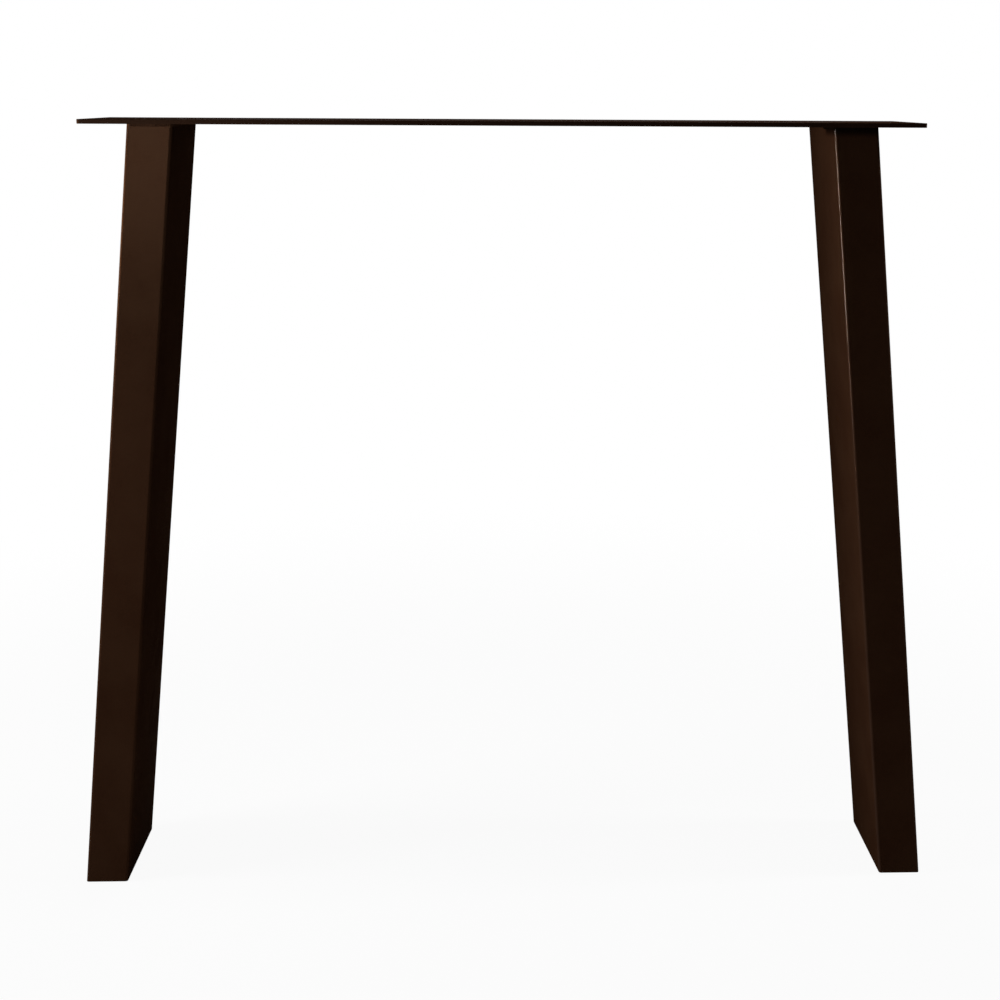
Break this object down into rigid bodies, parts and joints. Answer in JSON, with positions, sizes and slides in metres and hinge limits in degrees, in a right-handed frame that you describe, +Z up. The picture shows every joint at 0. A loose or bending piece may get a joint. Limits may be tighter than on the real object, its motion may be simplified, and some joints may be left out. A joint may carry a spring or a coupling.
{
  "type": "table leg",
  "caption": "Welded steel table leg: a flat screw-on top plate over splayed rectangular tubes, cut level at the floor, that carries one end of a table top.",
  "frame": {"origin": "on the floor, midway between the two feet and midway from front to back", "axes": "+Z up, +X along the top plate to the right as seen from the front, +Y from the front to the back"},
  "size_m": [0.825, 0.13, 0.73],
  "materials": {
    "brown_powder_coat": "satin"
  },
  "bodies": {
    "root": {"top_plate": "brown_powder_coat", "left_leg": "brown_powder_coat", "right_leg": "brown_powder_coat", "left_foot_plate": "brown_powder_coat", "right_foot_plate": "brown_powder_coat", "left_front_weld": "brown_powder_coat", "left_back_weld": "brown_powder_coat", "right_front_weld": "brown_powder_coat", "right_back_weld": "brown_powder_coat"}
  },
  "joints": []
}
